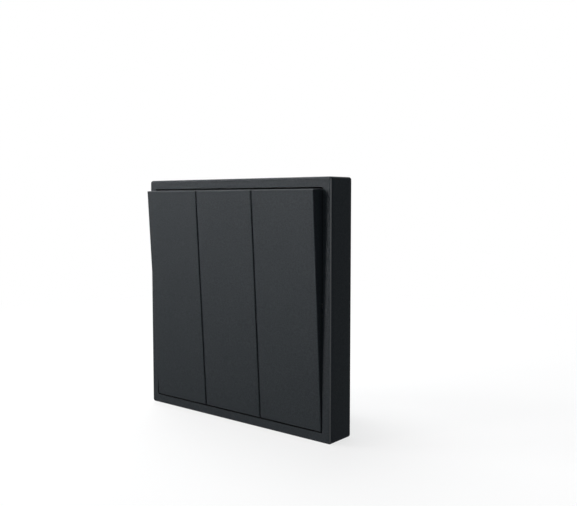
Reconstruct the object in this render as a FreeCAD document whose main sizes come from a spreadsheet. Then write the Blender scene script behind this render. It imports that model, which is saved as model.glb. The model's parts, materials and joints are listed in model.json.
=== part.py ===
"""Three-gang rocker wall switch for an 86 mm square wall box, with push-in terminals at the back.

The frame: X to the right, Y into the wall, Z up. The wall's surface is the plane Y = 0, and the origin
is the middle of the two box screws. Depths are given as "ahead", millimetres in front of the wall, so a
place behind the wall has a negative one. Rockers, plungers and levers are modelled square in frames of
their own, on the axis that they turn about, and then placed at the tilt at which they rest.
"""
import FreeCAD
import Part
import math
import os
import re
import Sketcher
from FreeCAD import Placement, Rotation, Vector

SIZES = [
    # cover frame
    ("plate_side", 86.0, "width and height of the cover frame"),
    ("plate_depth", 11.0, "front of the cover frame ahead of the wall"),
    ("corner_radius", 1.0, "rounding of the cover frame's four corners"),
    ("front_rounding", 0.8, "rounding along the cover frame's front edge"),
    ("flange_thick", 2.2, "thickness of the cover frame's front"),
    ("skirt_wall", 1.6, "thickness of the cover frame's sides"),
    ("border", 3.3, "width of the cover frame's front around the rockers"),
    ("opening_radius", 0.5, "rounding of that window's corners"),
    ("hook_spacing", 44.0, "distance between the two snap hooks on one side"),
    ("hook_width", 10.0, "length of a snap hook"),
    ("hook_reach", 0.8, "how far a snap hook stands out of the skirt"),
    ("hook_ahead", 5.6, "catching face of the snap hooks"),
    ("hook_flat", 0.8, "flat top of a snap hook"),
    ("hook_ramp", 1.4, "lead-in ramp of a snap hook"),
    ("hook_gap", 0.2, "play of a hook in its window"),
    ("pry_width", 8.0, "width of the screwdriver notch in the lower edge"),
    ("pry_height", 1.2, "depth of the screwdriver notch"),
    # rockers
    ("side_gap", 0.4, "gap between an outer rocker and the cover frame"),
    ("end_gap", 0.5, "gap above and below a rocker"),
    ("rocker_gap", 0.45, "gap between two rockers"),
    ("rocker_face", 3.8, "front of a rocker ahead of its own axis"),
    ("rocker_skin", 1.6, "thickness of a rocker's front"),
    ("rocker_wall", 1.3, "thickness of a rocker's sides"),
    ("rocker_rim", 2.9, "back of a rocker's sides behind its axis"),
    ("rocker_rounding", 0.3, "rounding of a rocker's front edges"),
    ("rocker_tilt", 3.34, "angle at which a rocker rests, upper end out"),
    ("pivot_ahead", 9.6, "axis of the rockers ahead of the wall"),
    ("pin_radius", 1.0, "pivot pin moulded on a rocker's ear"),
    ("pin_inset", 0.175, "end of a pivot pin inside the rocker's side"),
    ("ear_inset", 0.075, "outside of an ear inside the rocker's wall"),
    ("ear_thick", 1.2, "thickness of a rocker's ear"),
    ("ear_height", 8.0, "height of a rocker's ear"),
    ("ear_margin", 0.8, "material around the pin in the ear"),
    ("ear_gap", 0.2, "play between an ear and its post"),
    ("rib_thick", 1.0, "thickness of a rocker's stiffening ribs"),
    ("rib_depth", 2.0, "depth of a rocker's stiffening ribs"),
    ("rib_place", 20.0, "height of the two cross ribs above and below the axis"),
    ("notch_height", 6.0, "height of the notch that lets a post into a rocker's side"),
    ("notch_face", 1.2, "front of that notch ahead of the axis"),
    # stem, plunger and spring of a rocker
    ("stem_offset", 0.625, "side of an outer rocker's stem inside its ear's outer face"),
    ("stem_radius", 2.6, "outside of the stem that drives the contact lever"),
    ("stem_length", 13.0, "end of the stem behind the rocker's axis"),
    ("stem_bore", 1.5, "bore of the stem"),
    ("stem_bottom", 1.5, "bottom of the stem's bore behind the rocker's axis"),
    ("plunger_play", 0.08, "play of a plunger in the stem"),
    ("plunger_start", 7.0, "front end of a plunger behind the rocker's axis"),
    ("nose_length", 2.6, "length of the plunger's tapered nose"),
    ("nose_point", 0.5, "radius of the flat that ends the nose"),
    ("nose_gap", 0.05, "gap between nose and lever with the rocker level"),
    ("spring_wire", 0.2, "radius of the spring's wire"),
    ("spring_gap", 0.06, "play of the spring in the stem"),
    ("spring_turns", 2.0, "turns of a plunger spring"),
    # carrier
    ("fit_gap", 0.3, "play between the carrier and the cover frame's skirt"),
    ("carrier_back", 0.2, "back of the carrier's rim ahead of the wall"),
    ("carrier_floor", 2.0, "thickness of the carrier's floor"),
    ("carrier_wall", 1.4, "thickness of the carrier's rim"),
    ("carrier_top_gap", 0.2, "play between the carrier's rim and the cover frame's front"),
    ("post_height", 4.4, "height of a bearing post, along the rockers"),
    ("post_front", 0.7, "front of a bearing post ahead of the rockers' axis"),
    ("post_cover", 0.1, "how far an outer post stands inside the rocker's edge"),
    ("pin_play", 0.05, "play of a pivot pin in its bearing"),
    ("window_width", 6.4, "width of the window that a stem passes through"),
    ("window_height", 8.4, "height of the window that a stem passes through"),
    ("divider_thick", 1.2, "width of the ribs between the rockers"),
    ("divider_tall", 0.7, "height of the ribs between the rockers"),
    ("boss_side", 5.6, "width of a boss that takes a housing screw"),
    ("boss_front", 6.5, "front of a boss ahead of the wall"),
    ("boss_floor", 0.8, "material over the end of a housing screw's hole"),
    ("head_space", 4.6, "room on each side of a slot's middle for a box screw's head"),
    # support plate
    ("steel_thick", 1.2, "thickness of the support plate"),
    ("steel_inset", 2.1, "edge of the support plate inside the carrier's"),
    ("steel_radius", 3.0, "rounding of the support plate's corners"),
    ("steel_gap", 0.2, "play of the support plate in the carrier"),
    ("box_spacing", 60.3, "distance between the two box screws"),
    ("slot_width", 4.5, "width of a slot for a box screw"),
    ("slot_length", 7.5, "length of a slot for a box screw"),
    # rear housing
    ("housing_side", 50.5, "width and height of the rear housing"),
    ("housing_depth", 24.0, "back of the rear housing behind the wall"),
    ("housing_wall", 1.25, "thickness of the rear housing's sides"),
    ("housing_floor", 2.0, "thickness of the rear housing's back"),
    ("housing_radius", 2.5, "rounding of the rear housing's corners"),
    ("partition", 1.2, "thickness of the walls between the gangs"),
    ("partition_place", 9.0, "distance of those walls from the middle"),
    ("lug_up", 28.5, "housing screws' distance from the middle"),
    ("lug_radius", 3.2, "rounding of a fixing lug"),
    ("lug_thick", 2.2, "thickness of a fixing lug"),
    ("screw_shank", 1.2, "shank of a housing screw"),
    ("screw_head", 2.4, "head of a housing screw"),
    ("screw_head_tall", 1.7, "height of a housing screw's head"),
    ("screw_play", 0.2, "play of a housing screw in lug and plate"),
    ("screw_bite", 0.05, "play of a housing screw in its boss"),
    ("screw_short", 0.4, "distance from a housing screw's tip to the end of its hole"),
    ("recess_wide", 0.8, "width of the slot in a housing screw"),
    ("recess_deep", 0.7, "depth of the slot in a housing screw"),
    ("locator_thick", 0.6, "thickness of the ribs that hold the terminals sideways"),
    ("locator_gap", 0.1, "play of a terminal between its ribs"),
    # contact levers
    ("lever_behind", 10.8, "axis of the contact levers behind the wall"),
    ("lever_tilt", 8.25, "angle at which a contact lever rests, upper end back"),
    ("lever_thick", 0.8, "thickness of a contact lever"),
    ("lever_width", 5.0, "width of a contact lever"),
    ("lever_length", 25.0, "length of a contact lever"),
    ("cheek_thick", 0.6, "thickness of a contact lever's cheeks"),
    ("cheek_tall", 1.6, "height of a contact lever's cheeks"),
    ("cheek_length", 18.0, "length of a contact lever's cheeks"),
    ("contact_place", 10.5, "moving contacts' distance from the lever's axis"),
    ("contact_side", 2.4, "width and height of a moving contact"),
    ("contact_thick", 0.6, "thickness of a moving contact"),
    ("touch_gap", 0.05, "gap left between closed contacts"),
    ("button_side", 3.0, "width and height of a fixed contact"),
    ("button_thick", 0.6, "thickness of a fixed contact"),
    # strips, brackets and terminals
    ("strip_thick", 0.8, "thickness of the contact strips"),
    ("strip_start", 8.5, "inner end of a contact strip from the middle"),
    ("strip_bend", 13.0, "place of the jog in a lower strip"),
    ("crest_half", 0.4, "half the thickness of the crest that a lever rocks on"),
    ("crest_rounding", 0.35, "rounding of that crest's two edges"),
    ("crest_gap", 0.05, "gap between crest and lever"),
    ("bracket_thick", 0.8, "thickness of a common bracket"),
    ("bracket_top", 3.0, "upper end of a common bracket above the lever's axis"),
    ("bracket_step", 1.6, "height of the floor plate beyond the bracket's tail"),
    ("bracket_tail", 4.4, "width of a common bracket's tail"),
    ("crest_length", 4.6, "width of the crest"),
    ("terminal_width", 6.2, "width of a terminal"),
    ("terminal_length", 7.0, "room for a terminal, from the end wall's inside"),
    ("terminal_offset", 3.5, "lower terminals' distance from the middle of their cell"),
    ("wire_hole", 1.4, "hole in the housing's back for a bare wire"),
    ("wire_inset", 4.5, "wire's distance from the end wall's inside"),
    ("clip_thick", 0.4, "thickness of a clamping spring"),
    ("clip_tall", 6.0, "height of a clamping spring above the housing's floor"),
    ("clip_foot", 1.4, "length of a clamping spring's foot on that floor"),
    ("clip_reach", 5.8, "clamping spring's free edge from the end wall's inside"),
    ("release_wide", 2.6, "width of the slot through which a clamping spring is released"),
    ("release_tall", 1.0, "height of that slot"),
    ("release_inset", 1.6, "middle of that slot from the end wall's inside"),
]

GANGS = {"left": -1, "middle": 0, "right": 1}
FUNCTIONS = {"sin", "cos", "tan", "sqrt"}

doc = FreeCAD.newDocument("rocker_switch")
sheet = doc.addObject("Spreadsheet::Sheet", "dims")
for row, (name, value, meaning) in enumerate(SIZES, start=1):
    sheet.set(f"A{row}", name)
    sheet.set(f"B{row}", str(value))
    sheet.set(f"C{row}", meaning)
    sheet.setAlias(f"B{row}", name)
doc.recompute()


def linked(formula):
    """The formula with the name of each size turned into its cell in the sheet."""
    return re.sub(r"[a-z_]+", lambda m: m[0] if m[0] in FUNCTIONS else f"dims.{m[0]}", formula)


def number(formula):
    """What the formula comes to with the sheet's present sizes."""
    return float(sheet.evalExpression(linked(formula)))


# ---- outlines: each function returns one that draws on a sketch, with every place bound to the sheet


def fix_point(sketch, geometry, point, x, y):
    """Hold a point of the sketch at x, y, both of them formulas."""
    for kind, axis, formula in (("DistanceX", -2, x), ("DistanceY", -1, y)):
        if formula == "0":
            sketch.addConstraint(Sketcher.Constraint("PointOnObject", geometry, point, axis))
        else:
            at = Sketcher.Constraint(kind, -1, 1, geometry, point, number(formula))
            sketch.setExpression(f"Constraints[{sketch.addConstraint(at)}]", linked(formula))


def fix_radius(sketch, geometry, formula):
    """Hold the radius of a circle or arc at a formula."""
    rule = sketch.addConstraint(Sketcher.Constraint("Radius", geometry, number(formula)))
    sketch.setExpression(f"Constraints[{rule}]", linked(formula))


def polygon(*corners):
    """A closed outline through corners given as pairs of formulas."""
    def draw(sketch):
        points = [Vector(number(x), number(y), 0) for x, y in corners]
        ends = points[1:] + points[:1]
        first = sketch.GeometryCount
        sketch.addGeometry([Part.LineSegment(a, b) for a, b in zip(points, ends)], False)
        for i, (x, y) in enumerate(corners):
            after = first + (i + 1) % len(corners)
            sketch.addConstraint(Sketcher.Constraint("Coincident", first + i, 2, after, 1))
            fix_point(sketch, first + i, 1, x, y)
    return draw


def rectangle(left, right, bottom, top):
    """A rectangle between four formulas."""
    return polygon((left, bottom), (right, bottom), (right, top), (left, top))


def square(side):
    """A square about the origin."""
    return rectangle(f"-({side}) / 2", f"({side}) / 2", f"-({side}) / 2", f"({side}) / 2")


def circle(x, y, radius):
    """A circle."""
    def draw(sketch):
        ring = Part.Circle(Vector(number(x), number(y), 0), Vector(0, 0, 1), number(radius))
        index = sketch.addGeometry(ring, False)
        fix_point(sketch, index, 3, x, y)
        fix_radius(sketch, index, radius)
    return draw


def rounded(left, right, bottom, top, radius):
    """A rectangle with round corners: four sides, and an arc tangent to both at each corner."""
    def draw(sketch):
        x0, x1, y0, y1, r = (number(f) for f in (left, right, bottom, top, radius))
        first = sketch.GeometryCount
        corners = [((x0, y0), (1, 1)), ((x1, y0), (-1, 1)), ((x1, y1), (-1, -1)), ((x0, y1), (1, -1))]
        sides = []
        for i, ((x, y), (inx, iny)) in enumerate(corners):
            (nx, ny), (onx, ony) = corners[(i + 1) % 4]
            along_x = i % 2 == 0
            start = Vector(x + r * inx, y, 0) if along_x else Vector(x, y + r * iny, 0)
            stop = Vector(nx + r * onx, ny, 0) if along_x else Vector(nx, ny + r * ony, 0)
            sides.append(Part.LineSegment(start, stop))
        arcs = []
        for i, ((x, y), (inx, iny)) in enumerate(corners):
            ring = Part.Circle(Vector(x + r * inx, y + r * iny, 0), Vector(0, 0, 1), r)
            begin = math.pi + i * math.pi / 2
            arcs.append(Part.ArcOfCircle(ring, begin, begin + math.pi / 2))
        sketch.addGeometry(sides + arcs, False)
        for i in range(4):
            side, arc, before = first + i, first + 4 + i, first + (i + 3) % 4
            sketch.addConstraint(Sketcher.Constraint("Tangent", before, 2, arc, 1))
            sketch.addConstraint(Sketcher.Constraint("Tangent", arc, 2, side, 1))
            straight = "Horizontal" if i % 2 == 0 else "Vertical"
            sketch.addConstraint(Sketcher.Constraint(straight, side))
            if i:
                sketch.addConstraint(Sketcher.Constraint("Equal", first + 4, arc))
        fix_radius(sketch, first + 4, radius)
        for side, kind, formula in ((0, "DistanceY", bottom), (1, "DistanceX", right),
                                    (2, "DistanceY", top), (3, "DistanceX", left)):
            at = Sketcher.Constraint(kind, -1, 1, first + side, 1, number(formula))
            sketch.setExpression(f"Constraints[{sketch.addConstraint(at)}]", linked(formula))
    return draw


def stadium(start, end, radius):
    """A slot with round ends about two centres, the second to the right of the first or above it."""
    def draw(sketch):
        r = number(radius)
        a, b = (Vector(number(x), number(y), 0) for x, y in (start, end))
        along = (b - a).normalize()
        across = Vector(-along.y, along.x, 0) * r
        turn = math.atan2(along.y, along.x)
        first = sketch.GeometryCount
        for centre, begin in ((a, turn + math.pi / 2), (b, turn - math.pi / 2)):
            ring = Part.Circle(centre, Vector(0, 0, 1), r)
            sketch.addGeometry(Part.ArcOfCircle(ring, begin, begin + math.pi), False)
        sketch.addGeometry([Part.LineSegment(a - across, b - across),
                            Part.LineSegment(b + across, a + across)], False)
        fix_point(sketch, first, 3, *start)
        fix_point(sketch, first + 1, 3, *end)
        fix_radius(sketch, first, radius)
        sketch.addConstraint(Sketcher.Constraint("Equal", first, first + 1))
        joins = ((first, 2, first + 2, 1), (first + 2, 2, first + 1, 1),
                 (first + 1, 2, first + 3, 1), (first + 3, 2, first, 1))
        for join in joins:
            sketch.addConstraint(Sketcher.Constraint("Tangent", *join))
    return draw


def rounded_square(side, radius):
    """A square about the origin with round corners."""
    half = f"({side}) / 2"
    return rounded(f"-{half}", half, f"-{half}", half, radius)


# ---- solids


def new_body(label):
    """An empty body, which may hold separate solids."""
    body = doc.addObject("PartDesign::Body", label)
    body.Label = label
    body.AllowCompound = True
    return body


def sketch_at(body, plane, offset, outlines):
    """A sketch of the outlines on one of the body's own planes, moved along its normal."""
    sketch = body.newObject("Sketcher::SketchObject", f"{body.Name}_sketch")
    base = next(f for f in body.Origin.OriginFeatures if f.Role == plane)
    sketch.AttachmentSupport = (base, "")
    sketch.MapMode = "FlatFace"
    sketch.setExpression("AttachmentOffset.Base.z", linked(offset))
    for draw in outlines:
        draw(sketch)
    doc.recompute()
    return sketch


def add(body, low, high, *outlines, plane="XZ_Plane"):
    """Material between two places along the plane's normal: forwards for XZ, right for YZ, up for XY."""
    pad = body.newObject("PartDesign::Pad", f"{body.Name}_pad")
    pad.Profile = sketch_at(body, plane, low, outlines)
    pad.setExpression("Length", linked(f"({high}) - ({low})"))
    body.Tip = pad
    doc.recompute()
    return pad


def cut(body, low, high, *outlines, plane="XZ_Plane"):
    """Take material away between two places along the plane's normal, and see that some went."""
    before = body.Shape.Volume
    pocket = body.newObject("PartDesign::Pocket", f"{body.Name}_pocket")
    pocket.Profile = sketch_at(body, plane, high, outlines)
    pocket.setExpression("Length", linked(f"({high}) - ({low})"))
    body.Tip = pocket
    doc.recompute()
    if body.Shape.Volume > before - 1e-6:
        raise RuntimeError(f"{pocket.Name} cuts nothing from {body.Label}")
    return pocket


def round_edges(body, radius, wanted):
    """Round the edges whose middle point passes the test."""
    base = body.Tip
    names = [f"Edge{i}" for i, edge in enumerate(base.Shape.Edges, start=1) if wanted(edge)]
    fillet = body.newObject("PartDesign::Fillet", f"{body.Name}_fillet")
    fillet.Base = (base, names)
    fillet.setExpression("Radius", linked(radius))
    body.Tip = fillet
    doc.recompute()
    return fillet


def at_depth(ahead):
    """A test for edges that lie all in one plane, so far ahead of the body's own origin."""
    y = -number(ahead)
    return lambda edge: all(abs(v.Y - y) < 1e-6 for v in edge.Vertexes)


def set_down(body, x, ahead, z, turn="0"):
    """Place a body, turned about its own X axis, upper end out for a positive angle."""
    body.Placement = Placement(Vector(number(x), -number(ahead), number(z)),
                               Rotation(Vector(1, 0, 0), number(turn)))
    body.setExpression("Placement.Base.x", linked(x))
    body.setExpression("Placement.Base.y", linked(f"-({ahead})"))
    body.setExpression("Placement.Rotation.Angle", linked(turn))


# ---- places that several pieces share

SKIRT_INSIDE = "(plate_side - 2 * skirt_wall)"
OPENING_SIDE = "(plate_side - 2 * border)"
ROCKER_HEIGHT = f"({OPENING_SIDE} - 2 * end_gap)"
ROCKER_WIDTH = f"(({OPENING_SIDE} - 2 * side_gap - 2 * rocker_gap) / 3)"
ROCKER_PITCH = f"({ROCKER_WIDTH} + rocker_gap)"
CARRIER_SIDE = f"({SKIRT_INSIDE} - 2 * fit_gap)"
CARRIER_INSIDE = f"({CARRIER_SIDE} - 2 * carrier_wall)"
STEEL_SIDE = f"({CARRIER_SIDE} - 2 * steel_inset)"
FLOOR_FRONT = "(steel_thick + carrier_floor)"
RIM_FRONT = "(plate_depth - flange_thick - carrier_top_gap)"
FLOOR_BEHIND = "(housing_depth - housing_floor)"
CELL_HALF = "(housing_side / 2 - housing_wall)"
EAR_OUTSIDE = f"({ROCKER_WIDTH} / 2 - rocker_wall - ear_inset)"
STEM_PLACE = f"({EAR_OUTSIDE} - stem_offset - stem_radius)"
BUTTON_BEHIND = ("(lever_behind + contact_thick * cos(lever_tilt)"
                 " + (contact_place + contact_side / 2) * sin(lever_tilt) + touch_gap)")
STRIP_BEHIND = f"({BUTTON_BEHIND} + button_thick)"
TERMINAL_BEHIND = f"({STRIP_BEHIND} + strip_thick)"
NOSE_BEHIND = "(pivot_ahead + lever_behind - lever_thick - nose_gap)"
PLUNGER_RADIUS = "(stem_bore - plunger_play)"
BAR = f"({CELL_HALF} - terminal_length)"
SLOT_RUN = "(slot_length - slot_width) / 2"


def stem_x(gang):
    """Where a gang's stem, plunger and lever stand, from the middle of the switch."""
    return f"({gang} * ({ROCKER_PITCH} - {STEM_PLACE}))"


def cell_x(gang):
    """The middle of a gang's cell in the rear housing."""
    return f"({gang} * (partition_place + partition / 2 + {CELL_HALF}) / 2)"


def terminal_places(gang):
    """The three terminals of a gang as name, x and which end of the housing: +1 is the top."""
    inner = -1 if gang >= 0 else 1
    return [
        ("first_way", stem_x(gang), 1),
        ("second_way", f"({cell_x(gang)} - ({inner}) * terminal_offset)", -1),
        ("common", f"({cell_x(gang)} + ({inner}) * terminal_offset)", -1),
    ]


def screw_places():
    """The two housing screws."""
    return [("0", f"{end} * lug_up") for end in (-1, 1)]


# ---- cover frame


def make_cover_frame():
    """A square frame that snaps over the carrier: front, skirt, four hooks and a notch to pry it off."""
    body = new_body("cover_frame")
    add(body, "0", "plate_depth", rounded_square("plate_side", "corner_radius"))
    cut(body, "0", "plate_depth - flange_thick", square(SKIRT_INSIDE))
    cut(body, "plate_depth - flange_thick", "plate_depth",
        rounded_square(OPENING_SIDE, "opening_radius"))
    middle_of_border = number("(plate_side - border) / 2")
    on_front = at_depth("plate_depth")

    def outer_front_edge(edge):
        middle = edge.valueAt((edge.FirstParameter + edge.LastParameter) / 2)
        return on_front(edge) and max(abs(middle.x), abs(middle.z)) > middle_of_border

    round_edges(body, "front_rounding", outer_front_edge)
    for end in (-1, 1):
        skirt = f"{end} * {SKIRT_INSIDE} / 2"
        root = f"{end} * ({SKIRT_INSIDE} / 2 + skirt_wall / 2)"
        tip = f"{end} * ({SKIRT_INSIDE} / 2 - hook_reach)"
        hook = polygon(("-hook_ahead", root), ("-hook_ahead", tip),
                       ("-(hook_ahead - hook_flat)", tip),
                       ("-(hook_ahead - hook_flat - hook_ramp)", skirt),
                       ("-(hook_ahead - hook_flat - hook_ramp)", root))
        for side in (-1, 1):
            middle = f"{side} * hook_spacing / 2"
            add(body, f"{middle} - hook_width / 2", f"{middle} + hook_width / 2", hook,
                plane="YZ_Plane")
    cut(body, "0", "pry_height",
        rectangle("-pry_width / 2", "pry_width / 2", "-plate_side / 2 - skirt_wall",
                  f"-{SKIRT_INSIDE} / 2 + skirt_wall"))
    return body


# ---- rockers


def make_rocker(side, gang):
    """A hollow paddle with stiffening ribs, two ears with pivot pins, and the stem of its plunger."""
    body = new_body(f"rocker_{side}")
    half_wide = f"{ROCKER_WIDTH} / 2"
    half_high = f"{ROCKER_HEIGHT} / 2"
    stem = f"{-gang} * {STEM_PLACE}"
    add(body, "-rocker_rim", "rocker_face", rectangle(f"-{half_wide}", half_wide,
                                                      f"-{half_high}", half_high))
    round_edges(body, "rocker_rounding", at_depth("rocker_face"))
    cut(body, "-rocker_rim", "rocker_face - rocker_skin",
        rectangle(f"-({half_wide} - rocker_wall)", f"{half_wide} - rocker_wall",
                  f"-({half_high} - rocker_wall)", f"{half_high} - rocker_wall"))
    skin_back = "rocker_face - rocker_skin"
    rib_back = f"{skin_back} - rib_depth"
    for height in ("rib_place", "-rib_place"):
        add(body, rib_back, skin_back,
            rectangle(f"-({half_wide} - rocker_wall / 2)", f"{half_wide} - rocker_wall / 2",
                      f"{height} - rib_thick / 2", f"{height} + rib_thick / 2"))
    add(body, rib_back, skin_back,
        rectangle(f"{stem} - rib_thick / 2", f"{stem} + rib_thick / 2",
                  f"-({half_high} - rocker_wall / 2)", f"{half_high} - rocker_wall / 2"))
    ear_back = "-(pin_radius + ear_margin)"
    add(body, ear_back, skin_back,
        rectangle(f"-({EAR_OUTSIDE} - ear_thick / 2)", f"{EAR_OUTSIDE} - ear_thick / 2",
                  "-rib_thick / 2", "rib_thick / 2"))
    for hand in (-1, 1):
        outside = f"{hand} * {EAR_OUTSIDE}"
        inside = f"{hand} * ({EAR_OUTSIDE} - ear_thick)"
        end = f"{hand} * ({half_wide} - pin_inset)"
        beyond = f"{hand} * ({half_wide} + rocker_wall)"
        cut(body, "-rocker_rim", "notch_face",
            rectangle(*[outside, beyond][::hand], "-notch_height / 2", "notch_height / 2"))
        add(body, ear_back, skin_back,
            rectangle(*[inside, outside][::hand], "-ear_height / 2", "ear_height / 2"))
        add(body, *[inside, end][::hand], circle("0", "0", "pin_radius"), plane="YZ_Plane")
    add(body, "-stem_length", skin_back, circle(stem, "0", "stem_radius"))
    cut(body, "-stem_length", "-stem_bottom", circle(stem, "0", "stem_bore"))
    set_down(body, f"{gang} * {ROCKER_PITCH}", "pivot_ahead", "0", "rocker_tilt")
    return body


def make_plunger(side, gang):
    """A turned pin: guided shank, and a tapered nose that ends in a small flat."""
    body = new_body(f"plunger_{side}")
    outline = polygon(("0", "plunger_start"), (PLUNGER_RADIUS, "plunger_start"),
                      (PLUNGER_RADIUS, f"{NOSE_BEHIND} - nose_length"),
                      ("nose_point", NOSE_BEHIND), ("0", NOSE_BEHIND))
    turned = body.newObject("PartDesign::Revolution", f"{body.Name}_turned")
    sketch = sketch_at(body, "XY_Plane", "0", [outline])
    turned.Profile = sketch
    turned.ReferenceAxis = (sketch, ["V_Axis"])
    turned.Angle = 360
    body.Tip = turned
    doc.recompute()
    set_down(body, stem_x(gang), "pivot_ahead", "0", "rocker_tilt")
    return body


def make_spring(side, gang):
    """A coil spring between the bottom of the stem's bore and the plunger."""
    body = new_body(f"plunger_spring_{side}")
    coil = "(stem_bore - spring_gap - spring_wire)"
    start = "(stem_bottom + spring_wire)"
    height = f"(plunger_start - spring_wire - {start})"
    winding = body.newObject("PartDesign::AdditiveHelix", f"{body.Name}_winding")
    wire = rectangle(f"{coil} - spring_wire", f"{coil} + spring_wire",
                     f"{start} - spring_wire", f"{start} + spring_wire")
    sketch = sketch_at(body, "XY_Plane", "0", [wire])
    winding.Profile = sketch
    winding.ReferenceAxis = (sketch, ["V_Axis"])
    winding.Mode = 0
    winding.setExpression("Pitch", linked(f"{height} / spring_turns"))
    winding.setExpression("Height", linked(height))
    body.Tip = winding
    doc.recompute()
    set_down(body, stem_x(gang), "pivot_ahead", "0", "rocker_tilt")
    return body


# ---- carrier, support plate and screws


def make_carrier():
    """The moulded chassis: rim and floor, bearing posts open to the front, bosses and windows."""
    body = new_body("front_carrier")
    add(body, "carrier_back", RIM_FRONT, square(CARRIER_SIDE))
    cut(body, FLOOR_FRONT, RIM_FRONT, square(CARRIER_INSIDE))
    cut(body, "carrier_back", "steel_thick",
        rounded_square(f"{STEEL_SIDE} + 2 * steel_gap", "steel_radius + steel_gap"))
    for gang in (-1, 1):
        line = f"{gang} * {ROCKER_PITCH} / 2"
        add(body, "steel_thick + carrier_floor / 2", f"{FLOOR_FRONT} + divider_tall",
            rectangle(f"{line} - divider_thick / 2", f"{line} + divider_thick / 2",
                      f"-({CARRIER_INSIDE} / 2 + carrier_wall / 2)",
                      f"{CARRIER_INSIDE} / 2 + carrier_wall / 2"))
    post_front = "pivot_ahead + post_front"
    rocker_edge = f"({ROCKER_PITCH} + {ROCKER_WIDTH} / 2 - post_cover)"
    posts = [(f"{EAR_OUTSIDE} + ear_gap", f"{ROCKER_PITCH} - {EAR_OUTSIDE} - ear_gap", post_front),
             (f"{ROCKER_PITCH} + {EAR_OUTSIDE} + ear_gap", rocker_edge, post_front),
             (f"{rocker_edge} - post_cover", f"{CARRIER_INSIDE} / 2 + carrier_wall / 2", RIM_FRONT)]
    for hand in (-1, 1):
        for near, far, front in posts:
            sides = [f"{hand} * ({near})", f"{hand} * ({far})"]
            add(body, "steel_thick + carrier_floor / 2", front,
                rectangle(*sides[::hand], "-post_height / 2", "post_height / 2"))
    cut(body, f"-{CARRIER_SIDE} / 2", f"{CARRIER_SIDE} / 2",
        circle("-pivot_ahead", "0", "pin_radius + pin_play"), plane="YZ_Plane")
    for x, z in screw_places():
        add(body, "steel_thick + carrier_floor / 2", "boss_front",
            rectangle(f"{x} - boss_side / 2", f"{x} + boss_side / 2",
                      f"{z} - boss_side / 2", f"{z} + boss_side / 2"))
    holes = [circle(x, z, "screw_shank + screw_bite") for x, z in screw_places()]
    cut(body, "steel_thick", "boss_front - boss_floor", *holes)
    for gang in GANGS.values():
        x = stem_x(gang)
        cut(body, "steel_thick", FLOOR_FRONT,
            rectangle(f"{x} - window_width / 2", f"{x} + window_width / 2",
                      "-window_height / 2", "window_height / 2"))
    for hand in (-1, 1):
        x = f"{hand} * box_spacing / 2"
        cut(body, "steel_thick", FLOOR_FRONT,
            rectangle(f"{x} - {SLOT_RUN} - head_space", f"{x} + {SLOT_RUN} + head_space",
                      "-head_space", "head_space"))
    for end in (-1, 1):
        for hand in (-1, 1):
            middle = f"{hand} * hook_spacing / 2"
            rim = [f"{end} * ({CARRIER_INSIDE} / 2 - carrier_wall / 2)",
                   f"{end} * ({CARRIER_SIDE} / 2 + fit_gap)"]
            cut(body, "hook_ahead - hook_flat - hook_ramp - hook_gap", "hook_ahead + hook_gap",
                rectangle(f"{middle} - hook_width / 2 - hook_gap",
                          f"{middle} + hook_width / 2 + hook_gap", *rim[::end]))
    return body


def make_support_plate():
    """The steel plate that the box screws pull against the wall."""
    body = new_body("support_plate")
    add(body, "0", "steel_thick", rounded_square(STEEL_SIDE, "steel_radius"))
    for hand in (-1, 1):
        x = f"{hand} * box_spacing / 2"
        cut(body, "0", "steel_thick",
            stadium((f"{x} - {SLOT_RUN}", "0"), (f"{x} + {SLOT_RUN}", "0"), "slot_width / 2"))
    for gang in GANGS.values():
        x = stem_x(gang)
        cut(body, "0", "steel_thick",
            rectangle(f"{x} - window_width / 2", f"{x} + window_width / 2",
                      "-window_height / 2", "window_height / 2"))
    holes = [circle(x, z, "screw_shank + screw_play") for x, z in screw_places()]
    cut(body, "0", "steel_thick", *holes)
    return body


def make_housing_screws():
    """Two slotted screws, from the housing's lugs into the carrier's bosses."""
    body = new_body("housing_screws")
    places = screw_places()
    head = "-(lug_thick + screw_head_tall)"
    add(body, head, "-lug_thick", *[circle(x, z, "screw_head") for x, z in places])
    add(body, "-lug_thick", "boss_front - boss_floor - screw_short",
        *[circle(x, z, "screw_shank") for x, z in places])
    cut(body, head, f"{head} + recess_deep",
        *[rectangle(f"{x} - screw_head / 2", f"{x} + screw_head / 2",
                    f"{z} - recess_wide / 2", f"{z} + recess_wide / 2") for x, z in places])
    return body


# ---- rear housing


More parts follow.
